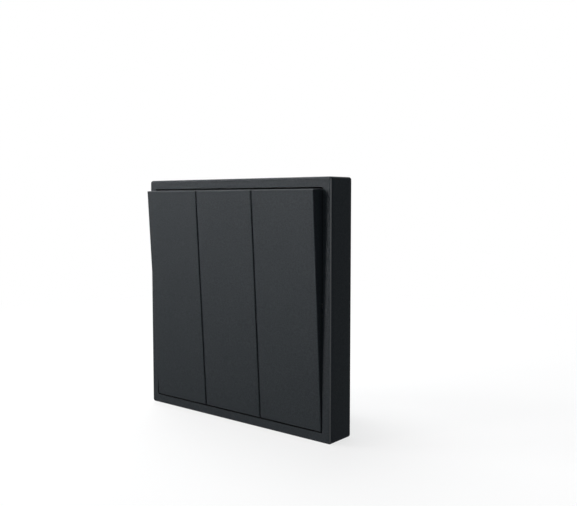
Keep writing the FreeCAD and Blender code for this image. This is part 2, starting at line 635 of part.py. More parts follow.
def make_housing():
    """The moulded box behind the wall: a cell for each gang, lugs, wire holes and release slots."""
    body = new_body("rear_housing")
    add(body, "-housing_depth", "0", rounded_square("housing_side", "housing_radius"))
    for end in (-1, 1):
        ends = [("0", f"{end} * ({CELL_HALF} - lug_radius)"), ("0", f"{end} * lug_up")]
        add(body, "-lug_thick", "0", stadium(*ends[::end], "lug_radius"))
    edges = {-1: (f"-{CELL_HALF}", "-(partition_place + partition / 2)"),
             0: ("-(partition_place - partition / 2)", "partition_place - partition / 2"),
             1: ("partition_place + partition / 2", CELL_HALF)}
    for left, right in edges.values():
        cut(body, f"-{FLOOR_BEHIND}", "0", rectangle(left, right, f"-{CELL_HALF}", CELL_HALF))
    cut(body, "-lug_thick", "0",
        *[circle(x, z, "screw_shank + screw_play") for x, z in screw_places()])
    openings = []
    for gang in GANGS.values():
        x = stem_x(gang)
        middle = cell_x(gang)
        beside = "(terminal_width / 2 + locator_gap)"
        ribs = [(f"{x} - {beside} - locator_thick", f"{x} - {beside}", 1),
                (f"{x} + {beside}", f"{x} + {beside} + locator_thick", 1),
                (f"{middle} - locator_thick / 2", f"{middle} + locator_thick / 2", -1)]
        for left, right, end in ribs:
            run = [f"{end} * {BAR}", f"{end} * ({CELL_HALF} + housing_wall / 2)"]
            add(body, f"-({FLOOR_BEHIND} + housing_floor / 2)", f"-{TERMINAL_BEHIND}",
                rectangle(left, right, *run[::end]))
        for _, at, end in terminal_places(gang):
            openings.append(circle(at, f"{end} * ({CELL_HALF} - wire_inset)", "wire_hole"))
            release = [f"{end} * ({CELL_HALF} - release_inset - release_tall / 2)",
                       f"{end} * ({CELL_HALF} - release_inset + release_tall / 2)"]
            openings.append(rectangle(f"{at} - release_wide / 2", f"{at} + release_wide / 2",
                                      *release[::end]))
    cut(body, "-housing_depth", f"-{FLOOR_BEHIND}", *openings)
    return body


# ---- contacts and terminals


def pads(x, side):
    """Two square contacts, one above and one below the lever's axis."""
    return [rectangle(f"{x} - {side} / 2", f"{x} + {side} / 2", f"{end} * contact_place - {side} / 2",
                      f"{end} * contact_place + {side} / 2") for end in (-1, 1)]


def bar(body, x, half, low, high, end):
    """The flange that a wire is pressed against, across the inner side of its terminal's room."""
    run = [f"{end} * {BAR}", f"{end} * ({BAR} + strip_thick)"]
    add(body, low, high, rectangle(f"{x} - {half}", f"{x} + {half}", *run[::end]))


def make_lever(side, gang):
    """A rocking copper lever: flat blade with two cheeks that keep the plunger on it."""
    body = new_body(f"contact_lever_{side}")
    half = "lever_width / 2"
    add(body, "0", "lever_thick", rectangle(f"-{half}", half, "-lever_length / 2", "lever_length / 2"))
    for hand in (-1, 1):
        sides = [f"{hand} * ({half} - cheek_thick)", f"{hand} * {half}"]
        add(body, "lever_thick / 2", "lever_thick + cheek_tall",
            rectangle(*sides[::hand], "-cheek_length / 2", "cheek_length / 2"))
    set_down(body, stem_x(gang), "-lever_behind", "0", "-lever_tilt")
    return body


def make_lever_contacts(side, gang):
    """The two silver contacts welded to a lever."""
    body = new_body(f"lever_contacts_{side}")
    add(body, "-contact_thick", "0", *pads("0", "contact_side"))
    set_down(body, stem_x(gang), "-lever_behind", "0", "-lever_tilt")
    return body


def make_fixed_contacts(side, gang):
    """The two silver contacts welded to the upper and lower strips."""
    body = new_body(f"fixed_contacts_{side}")
    add(body, f"-{STRIP_BEHIND}", f"-{BUTTON_BEHIND}", *pads(stem_x(gang), "button_side"))
    return body


def make_upper_strip(side, gang):
    """A straight strip from the upper contact to its terminal, and a flange down to the floor."""
    body = new_body(f"upper_strip_{side}")
    x = stem_x(gang)
    half = "lever_width / 2"
    add(body, f"-{TERMINAL_BEHIND}", f"-{STRIP_BEHIND}",
        rectangle(f"{x} - {half}", f"{x} + {half}", "strip_start", f"{BAR} + strip_thick"))
    bar(body, x, half, f"-{FLOOR_BEHIND}", f"-{STRIP_BEHIND}", 1)
    return body


def make_lower_strip(side, gang):
    """A strip from the lower contact that steps sideways to its terminal, and its flange."""
    body = new_body(f"lower_strip_{side}")
    x = stem_x(gang)
    at = terminal_places(gang)[1][1]
    half = "lever_width / 2"
    narrow = "(terminal_width / 2 - locator_gap)"
    step = f"-(strip_bend + {half})"
    end = f"-({BAR} + strip_thick)"
    add(body, f"-{TERMINAL_BEHIND}", f"-{STRIP_BEHIND}",
        polygon((f"{x} - {half}", "-strip_start"), (f"{x} - {half}", "-strip_bend"),
                (f"{at} - {narrow}", step), (f"{at} - {narrow}", end),
                (f"{at} + {narrow}", end), (f"{at} + {narrow}", step),
                (f"{x} + {half}", "-strip_bend"), (f"{x} + {half}", "-strip_start")))
    bar(body, at, narrow, f"-{FLOOR_BEHIND}", f"-{STRIP_BEHIND}", -1)
    return body


def make_bracket(side, gang):
    """The common bracket: floor plate, terminal flange, and the post whose crest a lever rocks on."""
    body = new_body(f"common_bracket_{side}")
    x = stem_x(gang)
    at = terminal_places(gang)[2][1]
    half = "lever_width / 2"
    tail = "bracket_tail / 2"
    end = f"-({BAR} + strip_thick)"
    bend = f"-{BAR} + bracket_tail"
    inner = -1 if gang >= 0 else 1
    add(body, f"-{FLOOR_BEHIND}", f"-({FLOOR_BEHIND} - bracket_thick)",
        polygon((f"{at} + ({inner}) * {tail}", end), (f"{at} - ({inner}) * {tail}", end),
                (f"{at} - ({inner}) * {tail}", bend), (f"{x} - ({inner}) * {half}", bend),
                (f"{x} - ({inner}) * {half}", "bracket_top"),
                (f"{x} + ({inner}) * {half}", "bracket_top"),
                (f"{x} + ({inner}) * {half}", f"{bend} + bracket_step"),
                (f"{at} + ({inner}) * {tail}", f"{bend} + bracket_step")))
    bar(body, at, tail, f"-{FLOOR_BEHIND}", f"-({FLOOR_BEHIND} - clip_tall)", -1)
    top = "(lever_behind + crest_gap)"
    add(body, f"-({FLOOR_BEHIND} - bracket_thick / 2)", f"-{top}",
        rectangle(f"{x} - crest_length / 2", f"{x} + crest_length / 2", "-crest_half", "crest_half"))
    y = number(top)

    def crest_edge(edge):
        ends = edge.Vertexes
        return all(abs(v.Y - y) < 1e-6 for v in ends) and abs(ends[0].Z - ends[-1].Z) < 1e-6

    round_edges(body, "crest_rounding", crest_edge)
    return body


def make_terminal(side, name, x, end):
    """A clamping spring: a leg on the end wall, a foot on the floor and a leg that leans on the wire."""
    body = new_body(f"{name}_terminal_{side}")
    wall = f"{end} * {CELL_HALF}"
    floor = f"{FLOOR_BEHIND}"
    tip = f"({floor} - clip_tall)"
    rise = "(clip_reach - clip_foot) / clip_tall"

    def inwards(distance):
        return f"{end} * ({CELL_HALF} - ({distance}))"

    profile = polygon((tip, wall), (floor, wall), (floor, inwards("clip_foot")),
                      (tip, inwards("clip_reach")), (tip, inwards("clip_reach - clip_thick")),
                      (f"{floor} - clip_thick", inwards(f"clip_foot - clip_thick * (1 - {rise})")),
                      (f"{floor} - clip_thick", inwards("clip_thick")), (tip, inwards("clip_thick")))
    add(body, f"{x} - terminal_width / 2", f"{x} + terminal_width / 2", profile, plane="YZ_Plane")
    return body


# ---- the whole switch

pieces = [make_cover_frame(), make_carrier(), make_support_plate(), make_housing(),
          make_housing_screws()]
for side, gang in GANGS.items():
    for make in (make_rocker, make_plunger, make_spring, make_lever, make_lever_contacts,
                 make_fixed_contacts, make_upper_strip, make_lower_strip, make_bracket):
        pieces.append(make(side, gang))
    for name, x, end in terminal_places(gang):
        pieces.append(make_terminal(side, name, x, end))
doc.recompute()

for thing in doc.Objects:
    if {"Invalid", "Error"} & set(thing.State):
        raise RuntimeError(f"{thing.Label} failed: {thing.State}")
os.makedirs("parts", exist_ok=True)
for piece in pieces:
    shape = piece.Shape
    if shape.isNull() or not shape.isValid():
        raise RuntimeError(f"{piece.Label} has no valid shape")
    shape.exportStep(f"parts/{piece.Label}.step")
    print(piece.Label, len(shape.Solids), round(shape.Volume, 2))
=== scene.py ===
"""Looks of a three-gang rocker wall switch: finishes for its solids, screws and springs worked
out in detail, and a plain pale studio. Lengths are in metres, in the frame of the solids: X to
the right, Y into the wall, Z up.
"""
import json
import math

import bpy
import numpy as np
from bpy.props import FloatProperty, FloatVectorProperty, IntProperty, PointerProperty
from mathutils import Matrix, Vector


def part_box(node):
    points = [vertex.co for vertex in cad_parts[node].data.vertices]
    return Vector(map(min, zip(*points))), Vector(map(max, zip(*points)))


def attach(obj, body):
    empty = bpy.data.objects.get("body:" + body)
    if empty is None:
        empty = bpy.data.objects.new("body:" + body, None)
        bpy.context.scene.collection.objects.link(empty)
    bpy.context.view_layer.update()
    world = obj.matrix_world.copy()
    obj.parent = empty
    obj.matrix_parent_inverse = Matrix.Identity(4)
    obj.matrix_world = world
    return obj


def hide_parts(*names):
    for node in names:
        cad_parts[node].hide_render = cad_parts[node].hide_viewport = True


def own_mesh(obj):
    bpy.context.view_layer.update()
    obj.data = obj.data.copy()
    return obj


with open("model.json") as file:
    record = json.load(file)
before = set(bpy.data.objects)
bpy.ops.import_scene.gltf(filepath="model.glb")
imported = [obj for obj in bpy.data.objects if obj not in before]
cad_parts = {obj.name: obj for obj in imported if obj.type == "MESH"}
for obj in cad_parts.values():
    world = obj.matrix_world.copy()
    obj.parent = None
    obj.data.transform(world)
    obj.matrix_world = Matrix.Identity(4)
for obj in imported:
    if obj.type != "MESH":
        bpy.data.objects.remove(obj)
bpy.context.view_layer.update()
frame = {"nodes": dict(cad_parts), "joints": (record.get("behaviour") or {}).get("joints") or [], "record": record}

bl_info = {
    "name": "Rocker switch looks",
    "version": (1, 0, 0),
    "blender": (4, 5, 0),
    "location": "View3D > Sidebar > Rocker switch",
    "description": "Finishes, small parts and studio of a three-gang rocker wall switch",
    "category": "Object",
}

NODES = frame["nodes"]
JOINTS = {joint["name"]: joint for joint in frame["joints"]}
COLOURS = {finish["slot"]: tuple(finish["base_color"])
           for finish in frame["record"]["materials"]}
SIDES = ("left", "middle", "right")
WHITE = (1, 1, 1)

# how finely the new pieces are divided
SCREW_SIDES = 96
DOME_RINGS, SHANK_RINGS, POINT_RINGS = 44, 90, 12
WIRE_SIDES = 10
TURN_STEPS = 28
FLOOR_SIDES = 96


# ---- what a user can change


def length(name, description, default):
    """A length in metres."""
    return FloatProperty(name=name, description=description, default=default, min=0,
                         unit="LENGTH", precision=5)


def share(name, description, default):
    """A number from 0 to 1."""
    return FloatProperty(name=name, description=description, default=default, min=0, max=1,
                         subtype="FACTOR")


def colour(name, description, default):
    """A linear colour."""
    return FloatVectorProperty(name=name, description=description, default=default, size=3,
                               min=0, max=1, subtype="COLOR")


class FinishSettings(bpy.types.PropertyGroup):
    cover_colour: colour("Cover", "Plastic of the cover frame and the rockers",
                         COLOURS["cover_plastic"])
    cover_roughness: share("Cover roughness", "How matt cover frame and rockers are", 0.55)
    cover_gloss: share("Cover gloss", "Reflection of the cover frame and the rockers", 0.04)
    cover_grain: length("Cover grain", "Size of the fine texture on frame and rockers", 0.0004)
    cover_relief: length("Cover relief", "Depth of that texture", 0.00003)
    cover_spread: share("Cover spread", "How far that texture can change the tone", 0.15)
    cover_speckle: FloatProperty(name="Cover speckle", min=0, default=4.0,
                                 description="How strongly that texture shows in the tone")
    cover_border: length("Cover border", "Width of the frame's front round the rockers", 0.0033)
    # Painted shade: the walls of the frame's opening are darkened to this share of the front's tone, standing in
    # for the shade in the groove round the rockers.
    painted_wall_shade: share("Wall tone", "Tone of the walls of the cover frame's opening, as a share of "
                     "its front's", 0.25)
    carrier_colour: colour("Carrier", "Plastic of the carrier", COLOURS["carrier_plastic"])
    housing_colour: colour("Housing", "Plastic of the rear housing", COLOURS["housing_plastic"])
    plunger_colour: colour("Plungers", "Plastic of the plungers", COLOURS["plunger_plastic"])
    plate_colour: colour("Support plate", "Zinc on the support plate",
                         COLOURS["galvanised_steel"])
    screw_colour: colour("Screws", "Zinc on the housing screws", COLOURS["screw_steel"])
    spring_colour: colour("Springs", "Steel of the springs", COLOURS["spring_steel"])
    copper_colour: colour("Copper", "Levers, strips and brackets", COLOURS["copper"])
    silver_colour: colour("Contacts", "Silver alloy of the contacts",
                          COLOURS["contact_silver"])


class SmallPartSettings(bpy.types.PropertyGroup):
    head_radius: length("Head radius", "Radius of a housing screw's head", 0.0024)
    head_height: length("Head height", "Height of a housing screw's head", 0.0017)
    recess_radius: length("Recess radius", "Half the span of the cross recess", 0.0014)
    recess_width: length("Recess width", "Width of an arm of the cross recess", 0.0007)
    recess_depth: length("Recess depth", "Depth of the cross recess", 0.0009)
    thread_crest: length("Thread crest", "Outside radius of the thread", 0.0012)
    thread_root: length("Thread root", "Inside radius of the thread", 0.00092)
    thread_pitch: length("Thread pitch", "Distance between two turns of the thread", 0.0009)
    coil_radius: length("Coil radius", "Radius of a plunger spring's middle line", 0.00122)
    wire_radius: length("Wire radius", "Radius of a plunger spring's wire", 0.00017)
    coil_turns: IntProperty(name="Turns", description="Turns of a plunger spring", default=6,
                            min=3)
    coil_start: length("Coil start", "Front end of a spring behind the rocker's axis", 0.0015)
    coil_length: length("Coil length", "Length of a spring at rest", 0.0055)


class StudioSettings(bpy.types.PropertyGroup):
    camera_place: FloatVectorProperty(
        name="Camera", description="Place of the camera", size=3, subtype="TRANSLATION",
        unit="LENGTH", default=(0.18154, -0.20254, 0.03518))
    camera_direction: FloatVectorProperty(
        name="Direction", description="Where the camera looks", size=3, subtype="DIRECTION",
        default=(-0.62965, 0.77383, -0.06879))
    camera_lens: FloatProperty(name="Lens", description="Focal length on a 36 mm sensor",
                               default=46.84, min=1, unit="CAMERA")
    floor_height: FloatProperty(name="Floor", description="Height of the floor",
                                default=-0.043, unit="LENGTH", precision=5)
    floor_radius: length("Floor radius", "Radius of the floor", 12.0)
    floor_colour: colour("Floor colour", "Paper on the floor", (0.83, 0.83, 0.83))
    shadow_share: share("Shadow share", "How much of the floor's own shading shows near the "
                        "switch", 0.24)
    shadow_start: length("Shadow start", "Distance up to which all of that share shows", 0.06)
    shadow_reach: length("Shadow reach", "Distance at which the floor is plain white", 0.36)
    ambient: share("Ambient", "Light from all round", 0.06)
    ambient_colour: FloatVectorProperty(
        name="Ambient colour", description="Tint of that light", size=3, min=0,
        subtype="COLOR", default=(0.75, 1.05, 1.35))


# ---- meshes


def mesh_piece(name, vertices, faces, smooth=True):
    """A piece in the scene, from an array of points and a list of faces."""
    mesh = bpy.data.meshes.new(name)
    mesh.from_pydata(vertices.tolist(), [], faces)
    mesh.polygons.foreach_set("use_smooth", [smooth] * len(mesh.polygons))
    mesh.update()
    piece = bpy.data.objects.new(name, mesh)
    bpy.context.scene.collection.objects.link(piece)
    return piece


def ringed_faces(count, around):
    """Faces of a skin of rings between two poles.

    Point 0 and the last point are the poles, and ring i holds points 1 + i * around onwards. Each
    face joins two neighbours on a ring to the two beside them on the next ring, or to a pole.
    """
    ring = 1 + np.arange(count * around).reshape(count, around)
    turned = np.roll(ring, -1, axis=1)
    quads = np.stack([ring[:-1], ring[1:], turned[1:], turned[:-1]], axis=-1).reshape(-1, 4)
    near = np.stack([np.zeros(around, int), ring[0], turned[0]], axis=-1)
    far = np.stack([np.full(around, count * around + 1), turned[-1], ring[-1]], axis=-1)
    return quads.tolist() + near.tolist() + far.tolist()


def outward(vertices, faces):
    """The faces as they are, or all reversed where the volume that they enclose is negative.

    Six times the volume is the sum of a . (b x c) over the triangles of all faces.
    """
    triangles = np.array([f[:3] for f in faces]
                         + [[f[0], f[2], f[3]] for f in faces if len(f) == 4])
    a, b, c = (vertices[triangles[:, i]] for i in range(3))
    six_volumes = np.einsum("ij,ij->i", a, np.cross(b, c)).sum()
    return faces if six_volumes > 0 else [f[::-1] for f in faces]


def screw_surface(small, centre, top, tip):
    """Points and faces of a pan-head screw along Y through centre, from its head at y = top, the
    larger y, to y = tip.

    Rings lie along an outline of radius and depth. The dome falls from the head's middle with the
    fourth power of the radius. The shank follows, and narrows evenly towards its point. On the
    shank a thread cuts into the radius: it takes off a share that goes from 0 at the crest to that
    of the root and back, as a triangle wave of the depth over the pitch plus the turn. The cross
    recess sinks the dome where the smaller of |x| and |z| is under half an arm's width and the
    radius is under the recess's own.
    """
    innermost, dome_fall, narrowing = 0.02, 0.35, 0.85  # shares of head radius, head height, shank
    slope = 0.00012  # width of a sloping wall of the recess
    point = 2 * small.thread_crest
    dome = np.linspace(innermost, 1, DOME_RINGS) * small.head_radius
    shank = np.linspace(top - small.head_height, tip + point, SHANK_RINGS)
    taper = np.linspace(0, 1, POINT_RINGS)[1:]
    radius = np.concatenate([dome, [small.head_radius], np.full(len(shank), small.thread_crest),
                             small.thread_crest * (1 - narrowing * taper)])
    fall = dome_fall * small.head_height * (dome / small.head_radius) ** 4
    depth = np.concatenate([top - fall, [top - small.head_height], shank,
                            tip + point * (1 - taper)])
    angle = np.linspace(0, 2 * math.pi, SCREW_SIDES, endpoint=False)
    r, turn = np.meshgrid(radius, angle, indexing="ij")
    y = np.repeat(depth[:, None], SCREW_SIDES, axis=1)
    ring = np.arange(len(radius))[:, None]
    on_dome, threaded = ring < len(dome), ring > len(dome)
    wave = np.abs(2 * ((y / small.thread_pitch + turn / (2 * math.pi)) % 1) - 1)
    thread_share = (small.thread_crest - small.thread_root) / small.thread_crest
    r = np.where(threaded, r * (1 - thread_share * wave), r)
    x, z = r * np.cos(turn), r * np.sin(turn)
    off_arm = np.minimum(np.abs(x), np.abs(z))
    in_arm = np.clip((small.recess_width / 2 - off_arm) / slope + 0.5, 0, 1)
    in_span = np.clip((small.recess_radius - r) / (2 * slope), 0, 1)
    y = y - small.recess_depth * in_arm * in_span * on_dome
    rings = np.stack([x + centre[0], y, z + centre[2]], axis=-1)
    head_pole = [centre[0], top - small.recess_depth, centre[2]]
    tip_pole = [centre[0], tip, centre[2]]
    points = np.concatenate([[head_pole], rings.reshape(-1, 3), [tip_pole]])
    return points, ringed_faces(len(radius), SCREW_SIDES)


def spring_surface(small, start, along):
    """Points and faces of a coil spring that runs from start in the direction along.

    The middle line is a helix: the angle grows evenly, and the height grows by one wire a turn
    over the closed turns at each end, and evenly between them. Each ring is a circle of the wire's
    radius, square to the helix.
    """
    closed = 0.75
    turns = small.coil_turns
    t = np.linspace(0, turns, turns * TURN_STEPS + 1)
    wire = 2 * small.wire_radius
    run = small.coil_length - wire
    height = small.wire_radius + np.interp(t, [0, closed, turns - closed, turns],
                                           [0, closed * wire, run - closed * wire, run])
    angle = 2 * math.pi * t
    side = np.array([1.0, 0.0, 0.0])
    up = np.cross(side, along)
    out = np.cos(angle)[:, None] * side + np.sin(angle)[:, None] * up
    middle = start + small.coil_radius * out + height[:, None] * along
    ahead = np.gradient(middle, axis=0)
    ahead /= np.linalg.norm(ahead, axis=1)[:, None]
    across = np.cross(ahead, out)
    ring = np.linspace(0, 2 * math.pi, WIRE_SIDES, endpoint=False)[None, :, None]
    rings = middle[:, None] + small.wire_radius * (np.cos(ring) * out[:, None]
                                                   + np.sin(ring) * across[:, None])
    points = np.concatenate([middle[:1], rings.reshape(-1, 3), middle[-1:]])
    return points, ringed_faces(len(t), WIRE_SIDES)


# ---- finishes


class Wire:
    """A socket that takes part in sums: + - * and abs add Math nodes."""

    def __init__(self, recipe, socket):
        self.recipe = recipe
        self.socket = socket

    def maths(self, operation, *values):
        return self.recipe.node("ShaderNodeMath", {"operation": operation},
                                dict(enumerate(values)))

    def __add__(self, other):
        return self.maths("ADD", self, other)

    def __sub__(self, other):
        return self.maths("SUBTRACT", self, other)

    def __rsub__(self, other):
        return self.maths("SUBTRACT", other, self)

    def __mul__(self, other):
        return self.maths("MULTIPLY", self, other)

    def __abs__(self):
        return self.maths("ABSOLUTE", self)

    def larger(self, other):
        return self.maths("MAXIMUM", self, other)

    __radd__ = __add__
    __rmul__ = __mul__


class Recipe:
    """A node tree that is being put together, for a material or the world."""

    def __init__(self, owner):
        owner.use_nodes = True
        self.owner = owner
        self.tree = owner.node_tree
        self.tree.nodes.clear()

    def node(self, kind, settings=None, inputs=None, output=0):
        """Add a node, with its settings first and then the values or links of its sockets."""
        made = self.tree.nodes.new(kind)
        for name, value in (settings or {}).items():
            setattr(made, name, value)
        for key, value in (inputs or {}).items():
            if isinstance(value, Wire):
                self.tree.links.new(value.socket, made.inputs[key])
            else:
                made.inputs[key].default_value = value
        return Wire(self, made.outputs[output]) if made.outputs else None

    def place(self, centre=(0, 0, 0), stretch=(1, 1, 1)):
        """Object coordinates about a centre, stretched along the axes."""
        start = self.node("ShaderNodeTexCoord", output="Object")
        moved = tuple(-c * s for c, s in zip(centre, stretch))
        return self.node("ShaderNodeMapping", {"vector_type": "POINT"},
                         {"Vector": start, "Location": moved, "Scale": stretch})

    def noise(self, size, detail=2.0, roughness=0.5, place=None):
        """Soft spots of about that size, around 0.5."""
        return self.node("ShaderNodeTexNoise", None,
                         {"Vector": place or self.place(), "Scale": 1 / size,
                          "Detail": detail, "Roughness": roughness}, "Fac")

    def ramp(self, value, start, end, low=0.0, high=1.0, kind="LINEAR"):
        """From low to high as the value goes from start to end."""
        return self.node("ShaderNodeMapRange", {"interpolation_type": kind},
                         {"Value": value, "From Min": start, "From Max": end, "To Min": low,
                          "To Max": high})

    def along(self, *axes):
        """Object coordinates along those axes, a wire each."""
        place = self.place()
        return [self.node("ShaderNodeSeparateXYZ", None, {"Vector": place}, axis)
                for axis in axes]

    def blend(self, mask, low, high):
        """A colour between low and high, each of them three numbers or a wire."""
        first, second, result = 6, 7, 2  # the Mix node's sockets for colours
        low, high = (c if isinstance(c, Wire) else (*c, 1) for c in (low, high))
        return self.node("ShaderNodeMix", {"data_type": "RGBA"},
                         {"Factor": mask, first: low, second: high}, result)

    def shades(self, mask, paint, spread):
        """The paint, darker and lighter by a share as the mask goes from 0 to 1."""
        return self.blend(mask, [c * (1 - spread) for c in paint],
                          [min(1, c * (1 + spread)) for c in paint])

    def relief(self, height, distance):
        """A normal from a height of 0 to 1 that stands for a distance."""
        return self.node("ShaderNodeBump", None, {"Height": height, "Distance": distance},
                         "Normal")

    def surface(self, inputs):
        """The finished surface."""
        shader = self.node("ShaderNodeBsdfPrincipled", None, inputs)
        self.node("ShaderNodeOutputMaterial", None, {"Surface": shader})
        return self.owner


def moulded(name, paint, roughness, grain, relief, spread, speckle=0.6, gloss=0.5, worn=None,
            shaded_window=None):
    """Moulded plastic: a fine even texture, and faint cloudy changes of tone and gloss.

    Speckle is how strongly the texture shows in the tone. Worn gives the x and y of two upright
    edges that touch has polished. For an opening, the last argument gives half its side and the tone
    of its walls as a share of the paint. That darker tone is painted shade, standing in for the shade
    that falls in the groove round the rockers.
    """
    recipe = Recipe(bpy.data.materials.new(name))
    cloud = recipe.noise(size=0.018, detail=3.0)
    fine = recipe.noise(size=grain, detail=2.0, roughness=0.65)
    tone = cloud * 0.4 + (fine - 0.5) * speckle + 0.3
    sockets = {
        "Base Color": recipe.shades(tone, paint, spread),
        "Roughness": roughness - 0.05 + cloud * 0.05 + fine * 0.05,
        "Specular IOR Level": gloss,
        "Normal": recipe.relief(fine, relief),
    }
    if worn:
        sockets["Coat Weight"] = polish(recipe, *worn)
        sockets["Coat Roughness"] = 0.3
    # Painted shade: the walls of the opening take a darker share of the paint, as if shade lay in the groove round
    # the rockers.
    if shaded_window:
        half, shade_share_of_paint = shaded_window
        sockets["Base Color"] = recipe.blend(walls(recipe, half), sockets["Base Color"],
                                             [channel * shade_share_of_paint for channel in paint])
    return recipe.surface(sockets)


def polish(recipe, across, front):
    """1 along both upright front edges and 0 elsewhere.

    It is a product of how near |x| is to the side's plane and |y| to the front's. Each goes from
    0 to 1 over the fade, from a start a little inside its plane.
    """
    start_x, start_y, fade = 0.00055, 0.0005, 0.0003
    x, y = recipe.along("X", "Y")
    side, face = abs(across) - start_x, abs(front) - start_y
    return (recipe.ramp(abs(x), side, side + fade, kind="SMOOTHSTEP")
            * recipe.ramp(abs(y), face, face + fade, kind="SMOOTHSTEP"))


def walls(recipe, half):
    """1 up to the walls of a square opening about the origin and 0 outside them: the larger of
    |x| and |z| against half the opening's side, with the walls themselves counted in."""
    # This mask marks where painted shade goes: the walls of the frame's opening, darkened like the shade in the
    # groove round the rockers.
    margin = 0.00002
    x, z = recipe.along("X", "Z")
    return recipe.ramp(abs(x).larger(abs(z)), half + margin, half + 2 * margin, 1.0, 0.0)


def galvanised(name, paint):
    """Zinc-coated sheet: flat crystals a few millimetres wide, each with its tone and gloss."""
    crystal_size = 0.0035
    recipe = Recipe(bpy.data.materials.new(name))
    crystal = recipe.node("ShaderNodeTexVoronoi", None,
                          {"Vector": recipe.place(), "Scale": 1 / crystal_size}, "Color")
    level = recipe.node("ShaderNodeSeparateColor", None, {"Color": crystal})
    fine = recipe.noise(size=0.0004, detail=3.0, roughness=0.6)
    return recipe.surface({
        "Base Color": recipe.shades(level * 0.7 + fine * 0.3, paint, spread=0.16),
        "Metallic": 1.0,
        "Roughness": 0.34 + level * 0.12 + fine * 0.08,
        "Normal": recipe.relief(fine, 0.000006),
    })


def rolled(name, paint, roughness, along="Z"):
    """Rolled strip: fine lines along the named axes, and a faint stain in clouds."""
    recipe = Recipe(bpy.data.materials.new(name))
    drawn_out = recipe.place(stretch=tuple(0.05 if axis in along else 1.0 for axis in "XYZ"))
    lines = recipe.noise(size=0.00012, detail=2.0, roughness=0.6, place=drawn_out)
    stain = recipe.noise(size=0.004, detail=3.0, roughness=0.6)
    return recipe.surface({
        "Base Color": recipe.shades(lines * 0.5 + stain * 0.5, paint, spread=0.2),
        "Metallic": 1.0,
        "Roughness": roughness + lines * 0.12 + stain * 0.1,
        "Normal": recipe.relief(lines, 0.000003),
    })


def turned_steel(name, paint, centre):
    """Turned and plated steel: rings about the screw's axis and a slightly cloudy plating."""
    recipe = Recipe(bpy.data.materials.new(name))
    rings = recipe.node("ShaderNodeTexWave", {"wave_type": "RINGS", "rings_direction": "Y"},
                        {"Vector": recipe.place(centre), "Scale": 900.0, "Distortion": 0.6,
                         "Detail": 1.0}, "Fac")
    cloud = recipe.noise(size=0.0015, detail=3.0)
    return recipe.surface({
        "Base Color": recipe.shades(rings * 0.4 + cloud * 0.6, paint, spread=0.14),
        "Metallic": 1.0,
        "Roughness": 0.26 + rings * 0.1 + cloud * 0.08,
        "Normal": recipe.relief(rings, 0.000004),
    })


def silver(name, paint):
    """Silver alloy: finely mottled, with darker tarnish in spots."""
    recipe = Recipe(bpy.data.materials.new(name))
    mottle = recipe.noise(size=0.00025, detail=3.0, roughness=0.6)
    tarnish = recipe.noise(size=0.0012, detail=3.0, roughness=0.6)
    return recipe.surface({
        "Base Color": recipe.shades(mottle * 0.4 + tarnish * 0.6, paint, spread=0.15),
        "Metallic": 1.0,
        "Roughness": 0.28 + mottle * 0.14,
        "Normal": recipe.relief(mottle, 0.000004),
    })


def dress(names, material):
    """Give nodes of the solid model a material."""
    for name in names:
        for slot in NODES[name].material_slots:
            slot.material = material


# ---- the switch, piece by piece


class Step(bpy.types.Operator):
    """Shared by all the operators"""
    bl_options = {"REGISTER", "UNDO"}

    @property
    def finish(self):
        return bpy.context.scene.switch_finish

    @property
    def small(self):
        return bpy.context.scene.switch_small_parts

    @property
    def studio(self):
        return bpy.context.scene.switch_studio


class DressFront(Step):
    """Give the cover frame and the three rockers their fine matt plastic"""
    bl_idname = "rocker_switch.dress_front"
    bl_label = "Cover frame and rockers"

    def execute(self, context):
        f = self.finish
        matt = {"paint": f.cover_colour, "roughness": f.cover_roughness, "grain": f.cover_grain,
                "relief": f.cover_relief, "spread": f.cover_spread, "speckle": f.cover_speckle,
                "gloss": f.cover_gloss}
        dress([f"rocker_{side}" for side in SIDES], moulded("rocker_plastic", **matt))
        low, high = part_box("cover_frame")
        # The walls of the frame's opening get painted shade, a darker share of the front's tone standing in for
        # the shade in the groove round the rockers.
        dress(["cover_frame"], moulded("frame_plastic", **matt, worn=(high[0], low[1]),
                                       shaded_window=(high[0] - f.cover_border, f.painted_wall_shade)))
        return {"FINISHED"}


class DressCarrier(Step):
    """Give the carrier its plain black moulding"""
    bl_idname = "rocker_switch.dress_carrier"
    bl_label = "Carrier"

    def execute(self, context):
        dress(["front_carrier"],
              moulded("carrier_plastic", self.finish.carrier_colour, roughness=0.5,
                      grain=0.0005, relief=0.00002, spread=0.1))
        return {"FINISHED"}


class DressPlate(Step):
    """Give the support plate its zinc coat"""
    bl_idname = "rocker_switch.dress_plate"
    bl_label = "Support plate"

    def execute(self, context):
        dress(["support_plate"], galvanised("zinc_sheet", self.finish.plate_colour))
        return {"FINISHED"}


class DressHousing(Step):
    """Give the rear housing its light grey moulding"""
    bl_idname = "rocker_switch.dress_housing"
    bl_label = "Rear housing"

    def execute(self, context):
        dress(["rear_housing"],
              moulded("housing_plastic", self.finish.housing_colour, roughness=0.42,
                      grain=0.0006, relief=0.00002, spread=0.05))
        return {"FINISHED"}


class MakeScrews(Step):
    """Make the two housing screws, with a domed head, a cross recess and a thread"""
    bl_idname = "rocker_switch.make_screws"
    bl_label = "Housing screws"

    def execute(self, context):
        low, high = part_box("housing_screws")
        reach = self.small.head_radius
        for name, z in (("upper", high[2] - reach), ("lower", low[2] + reach)):
            centre = (0.0, 0.0, z)
            points, faces = screw_surface(self.small, centre, high[1], low[1])
            screw = mesh_piece(f"housing_screw_{name}", points, outward(points, faces))
            screw.data.materials.append(
                turned_steel(f"screw_zinc_{name}", self.finish.screw_colour, centre))
            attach(screw, "switch_base")
            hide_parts("housing_screws")
        return {"FINISHED"}


